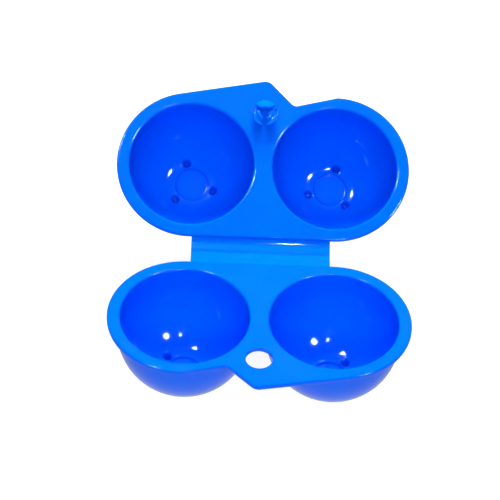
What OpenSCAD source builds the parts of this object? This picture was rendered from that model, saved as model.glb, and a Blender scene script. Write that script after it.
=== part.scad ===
// Two-cup keeper with a flip lid, one blue plastic moulding: a base with two cups, a lid with two
// domes, a folding strap between them, and on the lid a split stud that snaps into the base.
// Sizes are in millimetres. Each half is drawn in its own half frame: parting face at z = 0, cups
// hanging below it, cup centres on y = 0, strap towards +y and thumb tab towards -y.
// The lid is the same half turned round, so the two close mouth to mouth.

/* [Plates] */
// Distance between the two cup centres
cup_spacing = 62.4; // [60:0.1:76]
// Radius of the round ends of each plate
plate_r = 32.6; // [31:0.1:38]
// Thickness of each plate
plate_t = 2.2; // [1.6:0.1:3]
// Gap left between the two parting faces when closed
closing_gap = 0.1; // [0.05:0.05:0.4]

/* [Cups] */
// Radius of the cup's mouth and of its round inside
mouth_r = 27.1; // [22:0.1:28]
// Length of the straight wall between the mouth and the round bottom
straight_wall = 8.3; // [4:0.1:16]
// How much of the round bottom's tip the flat floor cuts off
floor_cut = 1.9; // [1:0.1:4]
// Wall thickness of a cup
wall_t = 1.5; // [1:0.1:2.4]
// Radius of the fillet between the round wall and the flat floor
floor_fillet = 4; // [1:0.5:8]
// Radius of the shallow round recess in the floor
recess_r = 7; // [4:0.5:8]
// Depth of that recess
recess_depth = 0.5; // [0.2:0.1:0.7]

/* [Feet] */
// Distance of each small foot from the cup's centre
foot_ring_r = 10; // [7:0.5:12]
// Radius of a foot
foot_r = 2.6; // [2:0.1:4]
// Height of a foot below the cup's floor
foot_h = 1; // [0.5:0.1:2]
// Radius of the hollow inside a foot
pit_r = 1.3; // [0.8:0.1:1.6]
// Thickness of the end wall that closes a foot
foot_skin = 0.9; // [0.6:0.1:1.2]

/* [Thumb tabs] */
// Sideways place of the tab's corner, from the middle of the plate
tab_corner_x = 1.4; // [-4:0.1:6]
// Angle of the tab's long edge, which runs into one round end
tab_slope = 10.7; // [6:0.1:14]
// Angle of the tab's short steep edge
tab_steep = 45; // [35:1:60]
// Radius of the tab's rounded corner
tab_corner_r = 4; // [1:0.5:8]
// Radius of the fillet where the steep edge meets the other round end
tab_notch_r = 3; // [1:0.5:6]

/* [Folding strap] */
// Width of the strap
strap_w = 60; // [30:1:62]
// Thickness of the strap's panels
strap_t = 1; // [0.6:0.1:1.4]
// Distance of each plate's fold line from its cup centres
fold_d = 35.2; // [34:0.1:42]
// Length of one strap panel, from fold line to fold line
panel_l = 4.3; // [3.6:0.1:9]
// Thickness of the thin web at a fold line
web_t = 0.4; // [0.3:0.05:0.6]
// Clearance between a web and the edge of a panel
web_clear = 0.04; // [0.02:0.01:0.1]
// Angle by which each bevelled edge clears the other when a fold is closed
bevel_ease = 3; // [1:0.5:6]
// Tilt of the lid's parting face above the base's: 0 lies flat open, 180 is closed
lid_tilt = 32; // [0:1:120]

/* [Snap latch] */
// Distance of the latch hole and the stud from the cup centre line
latch_y = 23; // [20:0.5:26]
// Radius of the latch hole in the base
latch_hole_r = 5.5; // [4:0.1:6.5]
// Clearance between the stud's neck and the hole
neck_clear = 0.6; // [0.3:0.1:1]
// How far the stud's barb reaches past the hole's edge
barb_catch = 0.4; // [0.2:0.1:0.6]
// Gap between the base plate's underside and the barb when closed
barb_clear = 0.3; // [0.1:0.1:0.6]
// Height of the barb's straight edge
barb_edge_h = 0.6; // [0.3:0.1:1]
// Height of the stud's crown past the barb's lower edge
crown_h = 3; // [2:0.1:4]
// How much narrower the crown's tip is than the barb
crown_taper = 1.3; // [0.6:0.1:1.8]
// Radius of the stud's hollow core
core_r = 2; // [1:0.1:2.4]
// How far the stud's top slopes down into its core
core_mouth_drop = 1.8; // [0.8:0.1:2.2]
// Width of the slots that split the stud into prongs
slot_w = 1.7; // [1.4:0.1:2]

/* [Hidden] */
$fn = 96;
// Overshoot of a cut past the face it opens
cut = 1;
// Depth by which a foot is rooted in the cup's round wall
foot_root = 1;

// Cups: depth below the parting face, and the centre of the fillet that the inside and the
// outside of the wall share
cup_depth = straight_wall + mouth_r - floor_cut;
fillet_z = floor_fillet - cup_depth;
fillet_ring_r = sqrt(pow(mouth_r - floor_fillet, 2) - pow(fillet_z + straight_wall, 2));
cup_outer_r = mouth_r + wall_t;
cup_outer_depth = cup_depth + wall_t;
foot_angles = [15, 135, 255];

// Height of the base's parting face above the table
face_z = cup_outer_depth + foot_h;

// The strap's outer face is flush with the plates' outer faces, and each fold axis is in the
// middle of its web
fold_depth = plate_t - web_t / 2;
web_r = web_t / 2;
web_seat_r = web_r + web_clear;
// Closed, the two panels stand like a V between the fold lines, at this angle from the plates
closed_rise = asin((fold_depth + closing_gap / 2) / panel_l);
centre_turn = 180 - 2 * closed_rise;
// Bevels of the edges beside the folds: each takes half of what its fold turns
end_bevel = 90 - closed_rise / 2 - bevel_ease;
centre_bevel = 90 - centre_turn / 2 - bevel_ease;
// Each fold takes its share of the lid's tilt
fold_share = lid_tilt / 180;
panel_base_tilt = closed_rise * fold_share;
panel_lid_tilt = panel_base_tilt + centre_turn * fold_share;

// Fold axes as [y, z] in the base's half frame
base_fold = [fold_d, -fold_depth];
centre_fold = base_fold + panel_l * [cos(panel_base_tilt), sin(panel_base_tilt)];
lid_fold = centre_fold + panel_l * [cos(panel_lid_tilt), sin(panel_lid_tilt)];

// Thumb tab: outward normals of its two edges, and their distances from the half frame's origin
long_n = [sin(tab_slope), -cos(tab_slope)];
steep_n = [-sin(tab_steep), -cos(tab_steep)];
left_end = [-cup_spacing / 2, 0];
right_end = [cup_spacing / 2, 0];
long_c = long_n * right_end + plate_r;
tab_corner = [-tab_corner_x, -(long_c + sin(tab_slope) * tab_corner_x) / cos(tab_slope)];
steep_c = steep_n * tab_corner;
corner_centre = meet(long_n, long_c - tab_corner_r, steep_n, steep_c - tab_corner_r);
tab_front = tab_corner_r - corner_centre[1];
notch_centre = beside(steep_n, steep_c + tab_notch_r, left_end, plate_r + tab_notch_r);

// The origin lies under the middle of the whole opened keeper, on the table
lid_front_y = lid_fold[0] + (fold_d + tab_front) * cos(lid_tilt) + (plate_t - fold_depth) * sin(lid_tilt);
middle_y = (lid_front_y - tab_front) / 2;

// Latch stud
neck_r = latch_hole_r - neck_clear;
barb_r = latch_hole_r + barb_catch;
barb_z = plate_t + closing_gap + barb_clear;
crown_z = barb_z + crown_h;
crown_r = barb_r - crown_taper;
// The stud's prongs point to the plate's free edge and to either side of the strap
prong_directions = [270, 30, 150];
prong_half = 180 / len(prong_directions);

// Point where the lines n1 . p = c1 and n2 . p = c2 cross
function meet(n1, c1, n2, c2) =
    let (det = n1[0] * n2[1] - n1[1] * n2[0])
    [(c1 * n2[1] - c2 * n1[1]) / det, (n1[0] * c2 - n2[0] * c1) / det];

// Point on the line n . p = c, at distance r from a centre, further along the line towards -y
function beside(n, c, centre, r) =
    let (down = [-n[1], n[0]], foot = n * c - centre, t = down * foot)
    n * c + down * (sqrt(r * r - foot * foot + t * t) - t);

// Outline of a plate, with its thumb tab, in the half frame
module plate_outline() {
    for (side = [-1, 1])
        translate([side * cup_spacing / 2, 0])
            circle(plate_r);
    translate([-cup_spacing / 2, 0])
        square([cup_spacing, plate_r]);
    translate(corner_centre)
        circle(tab_corner_r);
    difference() {
        polygon([
            right_end,
            right_end + plate_r * long_n,
            corner_centre + tab_corner_r * long_n,
            corner_centre + tab_corner_r * steep_n,
            notch_centre - tab_notch_r * steep_n,
            notch_centre,
            left_end
        ]);
        translate(notch_centre)
            circle(tab_notch_r);
    }
}

// A plate with its two mouths and the thin root that carries the strap's fold line
module plate() {
    difference() {
        union() {
            translate([0, 0, -plate_t])
                linear_extrude(plate_t)
                    plate_outline();
            strap_root();
        }
        for (side = [-1, 1])
            translate([side * cup_spacing / 2, 0, -plate_t - cut])
                cylinder(h = plate_t + 2 * cut, r = mouth_r);
    }
}

// Strip behind the plate, as thick as the strap, with a seat for the web along its edge
module strap_root() {
    along_strap(fold_d)
        difference() {
            translate([-(fold_d - plate_r) - wall_t, -web_r])
                square([fold_d - plate_r + wall_t, strap_t]);
            fold_cut(end_bevel);
        }
}

// Draws its 2D children, whose x is the way along the strap and y its thickness, across the strap
module along_strap(y) {
    translate([-strap_w / 2, y, -fold_depth])
        rotate([90, 0, 90])
            linear_extrude(strap_w)
                children();
}

// Cut beside a fold axis at the origin: the web's seat and a bevel that leaves room for the fold.
// The material lies towards -x and keeps below a line that rises at this angle.
module fold_cut(bevel) {
    circle(web_seat_r);
    polygon([
        [0, 0],
        [-(strap_t + cut) / tan(bevel), strap_t + cut],
        [cut, strap_t + cut],
        [cut, -cut],
        [0, -cut]
    ]);
}

// Panel of the strap, with one fold axis at the origin and the other at panel_l
module strap_panel_profile(first_bevel, second_bevel) {
    difference() {
        translate([0, -web_r])
            square([panel_l, strap_t]);
        mirror([1, 0])
            fold_cut(first_bevel);
        translate([panel_l, 0])
            fold_cut(second_bevel);
    }
}

module fold_web(axis) {
    translate([-strap_w / 2, axis[0], axis[1]])
        rotate([0, 90, 0])
            cylinder(h = strap_w, r = web_r);
}

// Half section of a bowl, open at the top: straight wall, round bottom, fillet and flat floor
module bowl_section(r, fillet) {
    floor_z = fillet_z - fillet;
    meet_z = -straight_wall + (fillet_z + straight_wall) * r / (r - fillet);
    translate([0, -straight_wall])
        square([r, straight_wall + cut]);
    intersection() {
        translate([0, -straight_wall])
            circle(r);
        translate([0, meet_z])
            square([r, -meet_z]);
    }
    translate([0, floor_z])
        square([fillet_ring_r, -floor_z - straight_wall]);
    intersection() {
        translate([fillet_ring_r, fillet_z])
            circle(fillet);
        translate([0, floor_z])
            square(r);
    }
}

// One cup shell below its plate, centred on the z axis, with three small hollow feet
module cup_shell(mirrored) {
    turned = mirrored ? [for (a = foot_angles) 180 - a] : foot_angles;
    difference() {
        union() {
            intersection() {
                rotate_extrude()
                    bowl_section(cup_outer_r, floor_fillet + wall_t);
                translate([-cup_outer_r - cut, -cup_outer_r - cut, -cup_outer_depth - cut])
                    cube([2 * cup_outer_r + 2 * cut, 2 * cup_outer_r + 2 * cut,
                        cup_outer_depth + cut - plate_t]);
            }
            for (a = turned)
                rotate([0, 0, a])
                    translate([foot_ring_r, 0, -cup_outer_depth - foot_h])
                        cylinder(h = foot_h + wall_t + foot_root, r = foot_r);
        }
        rotate_extrude()
            bowl_section(mouth_r, floor_fillet);
        translate([0, 0, -cup_depth - recess_depth])
            cylinder(h = cup_depth, r = recess_r);
        for (a = turned)
            rotate([0, 0, a])
                translate([foot_ring_r, 0, -cup_outer_depth - foot_h + foot_skin])
                    cylinder(h = foot_h + wall_t + 2 * cut, r = pit_r);
    }
}

// Crown and neck of the snap stud as a half section
module stud_section() {
    polygon([
        [core_r, 0],
        [neck_r, 0],
        [neck_r, barb_z],
        [barb_r, barb_z],
        [barb_r, barb_z + barb_edge_h],
        [crown_r, crown_z],
        [core_r, crown_z - core_mouth_drop]
    ]);
}

// One prong of the stud, a third of its round less half a slot on each side
module prong(direction) {
    tip_x = slot_w / 2 / sin(prong_half);
    reach = 2 * barb_r;
    color("#0a84fa")
        in_lid()
            translate([0, -latch_y, 0])
                rotate([0, 0, direction])
                    intersection() {
                        rotate_extrude()
                            stud_section();
                        linear_extrude(crown_z + cut)
                            polygon([
                                [tip_x, 0],
                                [tip_x + reach, reach * tan(prong_half)],
                                [tip_x + reach, -reach * tan(prong_half)]
                            ]);
                    }
}

// Places of the two halves and of the strap's panels in the part's own frame
module in_base() {
    translate([0, -middle_y, face_z])
        children();
}

module in_panel(axis, tilt) {
    in_base()
        translate([0, axis[0], axis[1]])
            rotate([tilt, 0, 0])
                children();
}

module in_lid() {
    in_panel(lid_fold, lid_tilt)
        rotate([0, 0, 180])
            translate([0, -fold_d, fold_depth])
                children();
}

module panel(first_bevel, second_bevel) {
    translate([-strap_w / 2, 0, 0])
        rotate([90, 0, 90])
            linear_extrude(strap_w)
                strap_panel_profile(first_bevel, second_bevel);
}

module base_plate() {
    color("#0188fe")
        in_base()
            difference() {
                plate();
                translate([0, -latch_y, -plate_t - cut])
                    cylinder(h = plate_t + 2 * cut, r = latch_hole_r);
            }
}

module base_cup_left() {
    color("#1a6bd0")
        in_base()
            translate([-cup_spacing / 2, 0, 0])
                cup_shell(false);
}

module base_cup_right() {
    color("#1a6bd0")
        in_base()
            translate([cup_spacing / 2, 0, 0])
                cup_shell(true);
}

module base_fold_web() {
    color("#0272e8")
        in_base()
            fold_web(base_fold);
}

module strap_panel_base() {
    color("#0296fe")
        in_panel(base_fold, panel_base_tilt)
            panel(end_bevel, centre_bevel);
}

module centre_fold_web() {
    color("#0272e8")
        in_base()
            fold_web(centre_fold);
}

module strap_panel_lid() {
    color("#0083fe")
        in_panel(centre_fold, panel_lid_tilt)
            panel(centre_bevel, end_bevel);
}

module lid_fold_web() {
    color("#0272e8")
        in_base()
            fold_web(lid_fold);
}

module lid_plate() {
    color("#0171f8")
        in_lid()
            plate();
}

module lid_dome_left() {
    color("#023cee")
        in_lid()
            translate([cup_spacing / 2, 0, 0])
                cup_shell(true);
}

module lid_dome_right() {
    color("#023cee")
        in_lid()
            translate([-cup_spacing / 2, 0, 0])
                cup_shell(false);
}

module latch_prong_front() {
    prong(prong_directions[0]);
}

module latch_prong_left() {
    prong(prong_directions[1]);
}

module latch_prong_right() {
    prong(prong_directions[2]);
}

base_plate();
base_cup_left();
base_cup_right();
base_fold_web();
strap_panel_base();
centre_fold_web();
strap_panel_lid();
lid_fold_web();
lid_plate();
lid_dome_left();
lid_dome_right();
latch_prong_front();
latch_prong_left();
latch_prong_right();
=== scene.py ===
import bmesh
import bpy
import math
from mathutils import Matrix, Vector


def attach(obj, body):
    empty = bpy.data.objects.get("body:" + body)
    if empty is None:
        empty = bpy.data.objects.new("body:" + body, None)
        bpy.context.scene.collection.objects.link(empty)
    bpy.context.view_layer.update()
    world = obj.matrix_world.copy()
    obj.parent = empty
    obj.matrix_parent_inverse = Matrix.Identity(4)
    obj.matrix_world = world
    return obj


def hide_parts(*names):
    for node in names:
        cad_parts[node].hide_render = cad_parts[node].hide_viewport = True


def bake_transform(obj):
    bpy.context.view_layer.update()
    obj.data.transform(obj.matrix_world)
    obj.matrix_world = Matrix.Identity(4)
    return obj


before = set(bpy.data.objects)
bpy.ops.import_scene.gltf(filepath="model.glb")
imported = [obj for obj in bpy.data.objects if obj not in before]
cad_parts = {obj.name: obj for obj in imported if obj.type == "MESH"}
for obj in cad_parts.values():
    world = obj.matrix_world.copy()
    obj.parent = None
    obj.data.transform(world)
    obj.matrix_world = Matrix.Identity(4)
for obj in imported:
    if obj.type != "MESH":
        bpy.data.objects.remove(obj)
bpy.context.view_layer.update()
mm = 0.001
halfTurn, quarterTurn = math.pi, math.pi / 2
smoothAngle = 40  # flatter edges than this are shaded smooth
print("frame loaded:", len(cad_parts), "nodes")


def startClean():
    if bpy.context.mode != "OBJECT":
        bpy.ops.object.mode_set(mode="OBJECT")
    bpy.ops.object.select_all(action="DESELECT")


def pick(test, kind="VERT"):  # selects parts of the mesh in edit mode, by their place
    bpy.ops.mesh.select_mode(type=kind)
    bpy.ops.mesh.select_all(action="DESELECT")
    mesh = bpy.context.edit_object.data
    shape = bmesh.from_edit_mesh(mesh)
    for part in {"VERT": shape.verts, "EDGE": shape.edges}[kind]:
        if test(part):
            part.select_set(True)
    shape.select_flush_mode()
    bmesh.update_edit_mesh(mesh)


def middle(edge):
    return (edge.verts[0].co + edge.verts[1].co) / 2


def extrudeBy(x=0, y=0, z=0):
    bpy.ops.mesh.extrude_region_move(TRANSFORM_OT_translate={"value": (x, y, z)})


def softStep(t):
    t = min(1, max(0, t))
    return t * t * (3 - 2 * t)


def finishPiece(name, seat):
    startClean()
    piece = bpy.context.view_layer.objects.active
    piece.name = piece.data.name = name
    piece.select_set(True)
    piece.matrix_world = seat @ piece.matrix_world
    bpy.ops.object.transform_apply(location=True, rotation=True, scale=True)
    bpy.ops.object.shade_smooth_by_angle(angle=math.radians(smoothAngle))
    print(f"{name}: {len(piece.data.polygons)} faces")
    return piece


half = dict(cupSpacing=62.4, mouthR=27.1, plateThickness=2.2, middleY=33.6729, faceHeight=36.0,
            foldD=35.2, foldDepth=2.0, lidTilt=32, lidFoldY=9.6438, lidFoldZ=36.3274)
baseSeat = Matrix.Translation(Vector((0, -half["middleY"], half["faceHeight"])) * mm)
lidSeat = (Matrix.Translation(Vector((0, half["lidFoldY"], half["lidFoldZ"])) * mm)
           @ Matrix.Rotation(math.radians(half["lidTilt"]), 4, "X")
           @ Matrix.Rotation(halfTurn, 4, "Z")
           @ Matrix.Translation(Vector((0, -half["foldD"], half["foldDepth"])) * mm))

plate = dict(endR=32.6, endSides=288, mouthSides=192, holeSides=72,
             tabSlope=10.7, tabSteep=45, tabCornerX=1.4, tabCornerR=4, notchR=3, notchShare=0.98,
             cornerSteps=14, notchSteps=12, weld=0.08, cutMargin=0.05, hair=0.001, near=0.01,
             holeY=-23, holeR=5.5, band=1.35, sharpEdge=0.8,
             topRound=(0.85, 5), bottomRound=(0.7, 4), lipRound=(1.0, 5), holeRound=(0.5, 4))


def tabPoints():
    slope, steep = math.radians(plate["tabSlope"]), math.radians(plate["tabSteep"])
    side, endR = half["cupSpacing"] / 2, plate["endR"]
    longOut = Vector((math.sin(slope), -math.cos(slope)))
    steepOut = Vector((-math.sin(steep), -math.cos(steep)))
    reach = longOut.x * side + endR
    corner = Vector((-plate["tabCornerX"], 0))
    corner.y = -(reach - longOut.x * corner.x) / math.cos(slope)
    edge = steepOut.dot(corner)
    # the notch arc touches the steep edge and the left round end
    notchR, end = plate["notchR"], Vector((-side, 0))
    down = Vector((-steepOut.y, steepOut.x))
    foot = steepOut * (edge + notchR) - end
    along = down.dot(foot)
    away = endR + notchR
    slide = math.sqrt(away ** 2 - foot.dot(foot) + along ** 2) - along
    notch = steepOut * (edge + notchR) + down * slide
    onEnd = end + (notch - end) * endR / away
    onSteep = notch - steepOut * notchR
    chord = onSteep - onEnd
    turn = (notch - end).normalized()
    tangent = Vector((-turn.y, turn.x))
    pull = chord.dot(chord) / (2 * chord.dot(tangent))
    notchCorner = onEnd + tangent * pull
    onLong = Vector((side, 0)) + longOut * endR
    opening = longOut.angle(steepOut)
    return onLong * mm, corner * mm, notchCorner * mm, onEnd * mm, opening, abs(pull) * mm


def plateOutline():
    onLong, corner, notchCorner, onEnd, opening, notchPull = tabPoints()
    side = half["cupSpacing"] / 2 * mm
    startClean()
    bpy.ops.mesh.primitive_circle_add(vertices=plate["endSides"], radius=plate["endR"] * mm,
                                      enter_editmode=True)
    hair, margin = plate["hair"] * mm, plate["cutMargin"] * mm
    pick(lambda v: v.co.x > hair)
    bpy.ops.transform.translate(value=(side, 0, 0))
    pick(lambda v: v.co.x < -hair)
    bpy.ops.transform.translate(value=(-side, 0, 0))
    pick(lambda v: v.co.y < 0 and onEnd.x - margin < v.co.x < onLong.x + margin)
    bpy.ops.mesh.delete(type="VERT")
    shape = bmesh.from_edit_mesh(bpy.context.edit_object.data)
    front = [v for v in shape.verts if v.co.y < 0 and len(v.link_edges) == 1]
    right = max(front, key=lambda v: v.co.x).co.xy.copy()
    left = min(front, key=lambda v: v.co.x).co.xy.copy()
    pick(lambda v: (v.co.xy - right).length < hair)
    spot = right
    for goal in (onLong, corner, notchCorner, onEnd):
        extrudeBy(goal.x - spot.x, goal.y - spot.y)
        spot = goal
    pick(lambda v: min((v.co.xy - left).length, (v.co.xy - onEnd).length) < hair)
    bpy.ops.mesh.edge_face_add()
    pick(lambda v: (v.co.xy - corner).length < hair)
    bpy.ops.mesh.bevel(offset=plate["tabCornerR"] * mm * math.tan(opening / 2),
                       segments=plate["cornerSteps"], affect="VERTICES")
    pick(lambda v: (v.co.xy - notchCorner).length < hair)
    bpy.ops.mesh.bevel(offset=notchPull * plate["notchShare"], segments=plate["notchSteps"],
                       affect="VERTICES")
    bpy.ops.mesh.select_all(action="SELECT")
    bpy.ops.mesh.remove_doubles(threshold=plate["weld"] * mm)


def buildPlate(name, seat, withHole):
    plateOutline()
    side, thickness = half["cupSpacing"] / 2 * mm, half["plateThickness"] * mm
    mouthR, holeR, near = half["mouthR"] * mm, plate["holeR"] * mm, plate["near"] * mm
    hole = Vector((0, plate["holeY"] * mm))
    for x in (-side, side):
        bpy.ops.mesh.primitive_circle_add(vertices=plate["mouthSides"], radius=mouthR,
                                          location=(x, 0, 0))
    if withHole:
        bpy.ops.mesh.primitive_circle_add(vertices=plate["holeSides"], radius=holeR,
                                          location=(hole.x, hole.y, 0))
    bpy.ops.mesh.select_all(action="SELECT")
    bpy.ops.mesh.fill(use_beauty=True)
    bpy.ops.mesh.select_all(action="SELECT")
    bpy.ops.mesh.inset(thickness=plate["band"] * mm, use_boundary=True)
    bpy.ops.mesh.select_all(action="SELECT")
    extrudeBy(z=-thickness)
    bpy.ops.mesh.select_all(action="SELECT")
    bpy.ops.mesh.normals_make_consistent(inside=False)

    def where(edge):  # mouth, hole or rim, for a sharp edge of the plate
        spot = middle(edge)
        if not edge.is_manifold or edge.calc_face_angle() < plate["sharpEdge"]:
            return ""
        if min((spot.xy - Vector((x, 0))).length for x in (-side, side)) < mouthR + near:
            return "mouth"
        if withHole and (spot.xy - hole).length < holeR + near:
            return "hole"
        return "rim"

    rounds = [("rim", 0, plate["topRound"]), ("rim", -thickness, plate["bottomRound"]),
              ("mouth", 0, plate["lipRound"])]
    if withHole:
        rounds += [("hole", level, plate["holeRound"]) for level in (0, -thickness)]
    for kind, level, (radius, steps) in rounds:
        pick(lambda e: where(e) == kind and abs(middle(e).z - level) < near, "EDGE")
        bpy.ops.mesh.bevel(offset=radius * mm, segments=steps, affect="EDGES",
                           loop_slide=False)
    return finishPiece(name, seat)


basePlate = buildPlate("basePlate", baseSeat, True)
lidPlate = buildPlate("lidPlate", lidSeat, False)

cup = dict(straight=8.3, floorZ=-33.5, wall=1.5, fillet=4, ringR=9.17, filletZ=-29.5,
           ease=11, easeRingR=7.6, straightSteps=3, ballSteps=34, bendSteps=12,
           recessR=7, recessDepth=0.9, recessEase=0.7, recessSteps=6, rootRound=1.4, rootSteps=6,
           innerRings=(6.6, 6.2, 5.6, 4.6, 3.4, 2.2, 1),
           outerRings=(8.8, 8.4, 8.0, 7.6, 7.2, 6.8, 6.4, 5.6, 4.6, 3.4, 2.2, 1), dentBelow=-25,
           footR=10, footAngles=(15, 135, 255), footFlat=1.9, footEase=1.0, footZ=-36.0,
           pitFlat=0.5, pitEase=2.1, pitDepth=1.9)


def wallPoints(wall, ringR, filletZ, bend):  # section of the inside (wall 0) or the outside
    ballR = half["mouthR"] + wall
    meetAngle = math.atan2(ringR, -filletZ - cup["straight"])
    steps, drop = cup["straightSteps"], cup["straight"] - half["plateThickness"]
    points = [(ballR, -half["plateThickness"] - drop * s / steps) for s in range(steps + 1)]
    for s in range(1, cup["ballSteps"] + 1):
        a = quarterTurn + (meetAngle - quarterTurn) * s / cup["ballSteps"]
        points.append((ballR * math.sin(a), -cup["straight"] - ballR * math.cos(a)))
    for s in range(1, cup["bendSteps"] + 1):
        a = meetAngle * (1 - s / cup["bendSteps"])
        points.append((ringR + bend * math.sin(a), filletZ - bend * math.cos(a)))
    return points


def growRings(points):  # a ring is drawn, then extruded down and scaled in, ring by ring
    r, z = points[0]
    startClean()
    bpy.ops.mesh.primitive_circle_add(vertices=plate["mouthSides"], radius=r * mm,
                                      location=(0, 0, z * mm), enter_editmode=True)
    for nextR, nextZ in points[1:]:
        extrudeBy(z=(nextZ - z) * mm)
        grow = nextR / r
        bpy.ops.transform.resize(value=(grow, grow, 1), center_override=(0, 0, 0))
        r, z = nextR, nextZ
    bpy.ops.mesh.edge_face_add()  # a small flat face closes the middle
    bpy.ops.mesh.poke()


def dent(angle, flatR, ease, goalZ):  # brings a round patch to one height, with a soft edge
    spot = Vector((cup["footR"] * math.cos(angle), cup["footR"] * math.sin(angle))) * mm
    pick(lambda v: (v.co.xy - spot).length < flatR * mm and v.co.z < cup["dentBelow"] * mm)
    bpy.ops.transform.resize(value=(1, 1, 0), center_override=(spot.x, spot.y, goalZ * mm),
                             use_proportional_edit=True, use_proportional_connected=True,
                             proportional_edit_falloff="SMOOTH", proportional_size=ease * mm)


def buildCup(name, seat, end, mirrored):
    angles = [math.radians(a) for a in cup["footAngles"]]
    if mirrored:
        angles = [halfTurn - a for a in angles]
    inside = wallPoints(0, cup["easeRingR"], cup["floorZ"] + cup["ease"], cup["ease"])
    floorZ, recess = cup["floorZ"], cup["recessDepth"]
    for s in range(1, cup["recessSteps"] + 1):  # soft step down into the recess
        t = s / cup["recessSteps"]
        inside.append((cup["recessR"] + cup["recessEase"] * (1 - t),
                       floorZ - recess * softStep(t)))
    inside += [(r, floorZ - recess) for r in cup["innerRings"]]
    growRings(inside)
    for a in angles:
        dent(a, cup["pitFlat"], cup["pitEase"], floorZ - cup["pitDepth"])
    startClean()
    inner = bpy.context.view_layer.objects.active

    outside = wallPoints(cup["wall"], cup["ringR"], cup["filletZ"], cup["fillet"] + cup["wall"])
    flare = cup["rootRound"]
    rootR, rootZ = half["mouthR"] + cup["wall"] + flare, -half["plateThickness"] - flare
    bend = [quarterTurn * s / cup["rootSteps"] for s in range(cup["rootSteps"])]
    root = [(rootR - flare * math.sin(a), rootZ + flare * math.cos(a)) for a in bend]
    outside = root + [p for p in outside if p[1] <= rootZ]
    outside += [(r, floorZ - cup["wall"]) for r in cup["outerRings"]]
    growRings(outside)
    for a in angles:
        dent(a, cup["footFlat"], cup["footEase"], cup["footZ"])
    startClean()
    outer = bpy.context.view_layer.objects.active
    inner.select_set(True)
    outer.select_set(True)
    bpy.ops.object.join()
    bpy.ops.object.mode_set(mode="EDIT")
    pick(lambda e: e.is_boundary, "EDGE")
    bpy.ops.mesh.bridge_edge_loops()
    bpy.ops.mesh.select_all(action="SELECT")
    bpy.ops.mesh.normals_make_consistent(inside=False)
    shift = Vector((end * half["cupSpacing"] / 2, 0, 0)) * mm
    return finishPiece(name, seat @ Matrix.Translation(shift))


baseCupLeft = buildCup("baseCupLeft", baseSeat, -1, False)
baseCupRight = buildCup("baseCupRight", baseSeat, 1, True)
lidDomeLeft = buildCup("lidDomeLeft", lidSeat, 1, True)
lidDomeRight = buildCup("lidDomeRight", lidSeat, -1, False)

strap = dict(width=60, thickness=0.95, thin=0.8, thinHalf=1.5, under=0.2, edgeRound=0.4,
             edgeSteps=4, panel=4.3, rootLength=3.4, bendHalf=1.8, step=0.3,
             foldsY=(1.5271, 5.8104, 9.6438), foldsZ=(34.0, 34.3794, 36.3274),
             headings=(0, 5.0619, 26.9381, 32))


def buildFold(name, index, nodes):
    axis = Vector((0, strap["foldsY"][index], strap["foldsZ"][index])) * mm
    before, after = (math.radians(strap["headings"][index + k]) for k in (0, 1))
    first = strap["rootLength"] if index == 0 else strap["panel"] / 2
    last = strap["rootLength"] if index == 2 else strap["panel"] / 2
    reach, thick = strap["bendHalf"], strap["thickness"]
    startClean()
    bpy.ops.mesh.primitive_plane_add(size=1)
    section = bpy.context.view_layer.objects.active
    section.scale = (strap["width"] * mm, thick * mm, 1)
    section.rotation_euler = (quarterTurn, 0, 0)
    section.location = (0, -first * mm, (thick / 2 - strap["under"]) * mm)
    bpy.ops.object.transform_apply(location=True, rotation=True, scale=True)
    bpy.ops.object.mode_set(mode="EDIT")
    bpy.ops.mesh.select_all(action="SELECT")
    bpy.ops.mesh.bevel(offset=strap["edgeRound"] * mm, segments=strap["edgeSteps"],
                       affect="VERTICES")
    bpy.ops.mesh.select_all(action="SELECT")
    ring = len(bmesh.from_edit_mesh(section.data).verts)
    count = round((first + last) / strap["step"])
    spots = [-first + (first + last) * s / count for s in range(count + 1)]

    def height(d):  # the sheet is thinner where it folds
        return thick - (thick - strap["thin"]) * softStep(1 - abs(d) / strap["thinHalf"])

    def share(d):
        return softStep((d + reach) / (2 * reach))

    for a, b in zip(spots, spots[1:]):
        extrudeBy(y=(b - a) * mm)
        bpy.ops.transform.resize(value=(1, 1, height(b) / height(a)),
                                 center_override=(0, 0, -strap["under"] * mm))
    for s in range(count, 0, -1):  # bent from the far end back to the near end
        turn = (after - before) * (share(spots[s]) - share(spots[s - 1]))
        if turn:
            pick(lambda v: v.index >= ring * s)
            bpy.ops.transform.rotate(value=-turn, orient_axis="X", center_override=(0, 0, 0))
    bpy.ops.mesh.select_all(action="SELECT")
    bpy.ops.mesh.normals_make_consistent(inside=False)
    seat = Matrix.Translation(axis) @ Matrix.Rotation(before, 4, "X")
    piece = finishPiece(name, seat)
    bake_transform(piece)
    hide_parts(*nodes)
    return piece


foldBase = buildFold("foldBase", 0, ("base_fold_web", "strap_panel_base"))
foldMiddle = buildFold("foldMiddle", 1,
                       ("centre_fold_web", "strap_panel_lid"))
foldLid = buildFold("foldLid", 2, ("lid_fold_web",))

stud = dict(y=-23, slot=1.7, core=2.0, sides=120, round=0.25, roundSteps=3, sharpEdge=0.6,
            rootZ=0.1, flexFrom=0.2, flexTo=2.4,
            neck=((1.8, 0.0), (4.9, 0.0), (4.9, 2.6), (5.9, 2.7), (6.0, 3.3)),
            dished=((5.95, 4.2), (5.8, 4.75), (5.5, 4.95), (5.2, 4.5), (4.8, 4.25), (4.2, 4.35),
                    (3.5, 4.95)),
            plain=((5.9, 3.9), (5.4, 4.3), (4.4, 4.85), (3.4, 5.35)),
            tip=((2.8, 5.5), (2.4, 5.3), (1.8, 4.7)))


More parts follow.
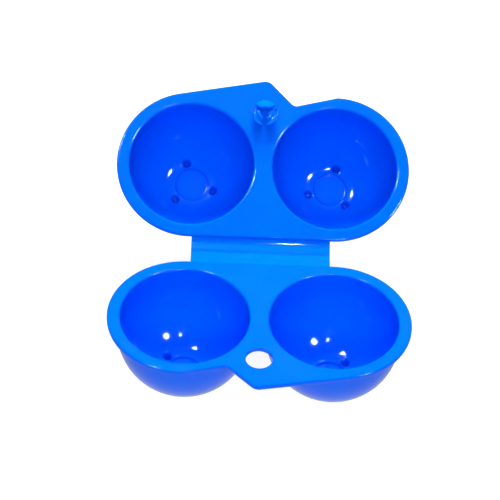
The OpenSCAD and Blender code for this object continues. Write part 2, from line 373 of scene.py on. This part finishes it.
def buildProng(name, crown, direction, node):
    section = stud["neck"] + stud[crown] + stud["tip"]
    startClean()
    bpy.ops.mesh.primitive_circle_add(vertices=stud["sides"], radius=section[0][0] * mm,
                                      enter_editmode=True)
    r, z = section[0]
    for nextR, nextZ in section[1:]:
        extrudeBy(z=(nextZ - z) * mm)
        bpy.ops.transform.resize(value=(nextR / r, nextR / r, 1), center_override=(0, 0, 0))
        r, z = nextR, nextZ
    pick(lambda e: e.is_boundary, "EDGE")
    bpy.ops.mesh.bridge_edge_loops()
    slot = stud["slot"] / 2 * mm
    for sign in (-1, 1):  # cut beside each slot, and keep the third that points this way
        a = direction + sign * halfTurn / 3
        side = Vector((-math.sin(a), math.cos(a), 0)) * sign
        bpy.ops.mesh.select_all(action="SELECT")
        bpy.ops.mesh.bisect(plane_co=-side * slot, plane_no=side, use_fill=True,
                            clear_outer=True)
    out = Vector((math.cos(direction), math.sin(direction), 0))  # the core is three-sided
    bpy.ops.mesh.select_all(action="SELECT")
    bpy.ops.mesh.bisect(plane_co=out * stud["core"] * mm, plane_no=-out, use_fill=True,
                        clear_outer=True)
    bpy.ops.mesh.select_all(action="SELECT")
    bpy.ops.mesh.normals_make_consistent(inside=False)
    pick(lambda e: (e.is_manifold and e.calc_face_angle() > stud["sharpEdge"]
                    and middle(e).z > stud["rootZ"] * mm), "EDGE")
    bpy.ops.mesh.bevel(offset=stud["round"] * mm, segments=stud["roundSteps"], affect="EDGES")
    seat = lidSeat @ Matrix.Translation((0, stud["y"] * mm, 0))
    piece = finishPiece(name, seat)
    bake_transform(piece)
    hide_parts(node)
    return piece


prongs = [buildProng(f"prong{side.capitalize()}", crown, math.radians(turn),
                     f"latch_prong_{side}")
          for side, crown, turn in (("front", "plain", 270), ("left", "dished", 30),
                                    ("right", "dished", 150))]

for piece, body, node in (
        (basePlate, "base", "base_plate"), (baseCupLeft, "base", "base_cup_left"),
        (baseCupRight, "base", "base_cup_right"), (lidPlate, "lid", "lid_plate"),
        (lidDomeLeft, "lid", "lid_dome_left"), (lidDomeRight, "lid", "lid_dome_right")):
    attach(piece, body)
    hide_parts(node)
print("pieces placed")


def linear(hexColour):
    values = [int(hexColour[i:i + 2], 16) / 255 for i in (1, 3, 5)]
    return [v / 12.92 if v <= 0.04045 else ((v + 0.055) / 1.055) ** 2.4 for v in values] + [1]


def addNode(tree, kind, settings=None, values=None, links=None):
    node = tree.nodes.new(kind)
    for key, value in (settings or {}).items():
        setattr(node, key, value)
    for key, value in (values or {}).items():
        node.inputs[key].default_value = value
    for key, source in (links or {}).items():
        tree.links.new(source, node.inputs[key])
    return node


def newMaterial(name):
    material = bpy.data.materials.new(name)
    material.use_nodes = True
    tree = material.node_tree
    tree.nodes.clear()
    return material, tree


# the hollow-shade entries below paint shade into hollows and creases, as a deeper blue
# the lighter thin-sheet colours below are painted light, standing for light that shines through
# thin parts
plastic = dict(colours=("#0062ec", "#005ae8"), paintedLightThinColours=("#006eec", "#0066e8"),
               flowSize=22, flowDetail=2.0, peelSize=0.9, peelDetail=1.0, peelDepth=0.004,
               wearSize=6, wearDetail=5.0, roughLow=0.06, roughHigh=0.12,
               paintedShadeReach=5, paintedShadeOpen=0.3, paintedShadeSamples=12, paintedShadeColour="#0024b8", ior=1.5,
               glossTint=(0.45, 0.8, 1.0, 1), scatter=0.35, scatterDepth=2.5,
               scatterRadius=(0.1, 0.8, 1.0))


def bluePolypropylene(name, colours):
    # injection moulded in a polished tool: saturated, glossy and a little translucent; the tool
    # leaves a faint orange peel and slow flow marks; small hollows get painted shade, a deeper
    # blue
    material, tree = newMaterial(name)
    place = addNode(tree, "ShaderNodeTexCoord").outputs["Object"]

    def noise(kind):
        scale = 1 / (plastic[kind + "Size"] * mm)
        node = addNode(tree, "ShaderNodeTexNoise",
                       values={"Scale": scale, "Detail": plastic[kind + "Detail"]},
                       links={"Vector": place})
        return node.outputs["Fac"]

    def mixColours(factor, low, high=None):
        mix = addNode(tree, "ShaderNodeMix", {"data_type": "RGBA"}, links={"Factor": factor})
        mix.inputs[6].default_value = linear(low)
        if high:
            mix.inputs[7].default_value = linear(high)
        return mix

    tone = mixColours(noise("flow"), *colours)
    # painted shade: ambient occlusion finds hollows and creases, and the colour there is mixed
    # toward a deep blue
    paintedShadeMask = addNode(tree, "ShaderNodeAmbientOcclusion",
                   {"samples": plastic["paintedShadeSamples"], "only_local": True},
                   {"Distance": plastic["paintedShadeReach"] * mm})
    shadeAmount = addNode(tree, "ShaderNodeMapRange",
                    values={"From Min": plastic["paintedShadeOpen"], "From Max": 1.0},
                    links={"Value": paintedShadeMask.outputs["AO"]})
    shade = mixColours(shadeAmount.outputs["Result"], plastic["paintedShadeColour"])
    tree.links.new(tone.outputs[2], shade.inputs[7])
    rough = addNode(tree, "ShaderNodeMapRange",
                    values={"To Min": plastic["roughLow"], "To Max": plastic["roughHigh"]},
                    links={"Value": noise("wear")})
    bump = addNode(tree, "ShaderNodeBump",
                   values={"Strength": 1.0, "Distance": plastic["peelDepth"] * mm},
                   links={"Height": noise("peel")})
    surface = addNode(tree, "ShaderNodeBsdfPrincipled",
                      values={"IOR": plastic["ior"], "Specular Tint": plastic["glossTint"],
                              "Subsurface Weight": plastic["scatter"],
                              "Subsurface Scale": plastic["scatterDepth"] * mm,
                              "Subsurface Radius": plastic["scatterRadius"]},
                      links={"Base Color": shade.outputs[2], "Roughness": rough.outputs["Result"],
                             "Normal": bump.outputs["Normal"]})
    addNode(tree, "ShaderNodeOutputMaterial", links={"Surface": surface.outputs["BSDF"]})
    return material


blue = bluePolypropylene("bluePolypropylene", plastic["colours"])
# painted light: the folds and prongs scatter light like the rest, and their lighter blue is
# painted for what shines through them
paintedLightThinBlue = bluePolypropylene("thinPolypropylenePaintedLight", plastic["paintedLightThinColours"])  # passes light
stoutPieces = (basePlate, lidPlate, baseCupLeft, baseCupRight, lidDomeLeft, lidDomeRight)
thinPieces = (foldBase, foldMiddle, foldLid, *prongs)
for pieces, material in ((stoutPieces, blue), (thinPieces, paintedLightThinBlue)):
    for piece in pieces:
        piece.data.materials.clear()
        piece.data.materials.append(material)
print("plastic done")

studio = dict(floorSize=4000, floorColour="#959595", floorRough=0.9, floorGlow=0.86,
              sky="#ffffff", skyStrength=0.08)


def buildStudio():
    startClean()
    bpy.ops.mesh.primitive_plane_add(size=studio["floorSize"] * mm)
    floor = bpy.context.view_layer.objects.active
    floor.name = "floor"
    material, tree = newMaterial("whiteSweep")
    surface = addNode(tree, "ShaderNodeBsdfPrincipled",
                      values={"Base Color": linear(studio["floorColour"]),
                              "Roughness": studio["floorRough"],
                              "Emission Color": linear(studio["sky"]),
                              "Emission Strength": studio["floorGlow"]})
    addNode(tree, "ShaderNodeOutputMaterial", links={"Surface": surface.outputs["BSDF"]})
    floor.data.materials.append(material)
    floor.visible_diffuse = floor.visible_glossy = False
    world = bpy.data.worlds.new("studio")
    bpy.context.scene.world = world
    world.use_nodes = True
    sky = world.node_tree.nodes["Background"]
    sky.inputs["Color"].default_value = linear(studio["sky"])
    sky.inputs["Strength"].default_value = studio["skyStrength"]
    world.cycles_visibility.glossy = False


# size and distance in metres; a lamp without highlights only lights what scatters, and one
# without scatter is only seen as a highlight
lamps = dict(
    back=dict(size=0.5, energy=33, azimuth=178, elevation=56, distance=1.3, lights="diffuse"),
    top=dict(size=0.5, energy=4, azimuth=0, elevation=88, distance=1.3, lights="diffuse"),
    low=dict(size=0.5, energy=11.5, azimuth=0, elevation=40, distance=1.3, lights="diffuse"),
    left=dict(size=0.14, energy=7, azimuth=-70, elevation=70, distance=1.2, lights="glossy"),
    right=dict(size=0.17, energy=10, azimuth=52, elevation=49, distance=1.2, lights="glossy"),
    front=dict(size=0.08, energy=2.5, azimuth=12, elevation=56, distance=1.3, lights="glossy"),
    table=dict(size=2.0, energy=9, azimuth=0, elevation=-90, distance=-0.0005, lights="both"),
)


def buildLamps():  # each looks at the origin; the last lies on the table and throws its light up
    for name, lamp in lamps.items():
        a, e = math.radians(lamp["azimuth"]), math.radians(lamp["elevation"])
        out = Vector((math.sin(a) * math.cos(e), -math.cos(a) * math.cos(e), math.sin(e)))
        startClean()
        bpy.ops.object.light_add(type="AREA", radius=lamp["size"], location=out * lamp["distance"])
        light = bpy.context.view_layer.objects.active
        light.name = name
        light.data.energy = lamp["energy"]
        light.rotation_mode = "QUATERNION"
        light.rotation_quaternion = out.to_track_quat("Z", "Y")
        light.visible_diffuse = lamp["lights"] != "glossy"
        light.visible_glossy = lamp["lights"] != "diffuse"
        light.visible_camera = False


cameraPlace = dict(turn=-1.4042, rise=43.8379, roll=3.0902, distance=857.2, shiftX=-5.0475,
                   shiftY=14.106, aim=(0, -13.6729, 36.0), focal=2020.7, frame=500, sensor=36,
                   clipNear=50, clipFar=20000)


def buildCamera():
    a, e, roll = (math.radians(cameraPlace[key]) for key in ("turn", "rise", "roll"))
    back = Vector((math.sin(a) * math.cos(e), -math.cos(a) * math.cos(e), math.sin(e)))
    right = (-back).cross(Vector((0, 0, 1))).normalized()
    up = right.cross(-back)
    place = (Vector(cameraPlace["aim"]) + back * cameraPlace["distance"]
             + right * cameraPlace["shiftX"] + up * cameraPlace["shiftY"]) * mm
    tilted = right * math.cos(roll) + up * math.sin(roll)
    turned = Matrix((tilted, back.cross(tilted), back)).transposed().to_4x4()
    data = bpy.data.cameras.new("camera")
    data.sensor_width = cameraPlace["sensor"]
    data.lens = cameraPlace["focal"] / cameraPlace["frame"] * cameraPlace["sensor"]
    data.clip_start, data.clip_end = cameraPlace["clipNear"] * mm, cameraPlace["clipFar"] * mm
    camera = bpy.data.objects.new("camera", data)
    bpy.context.scene.collection.objects.link(camera)
    camera.matrix_world = Matrix.Translation(place) @ turned
    bpy.context.scene.camera = camera


buildStudio()
buildLamps()
buildCamera()
bpy.context.scene.view_settings.view_transform = "Standard"
print("studio done")
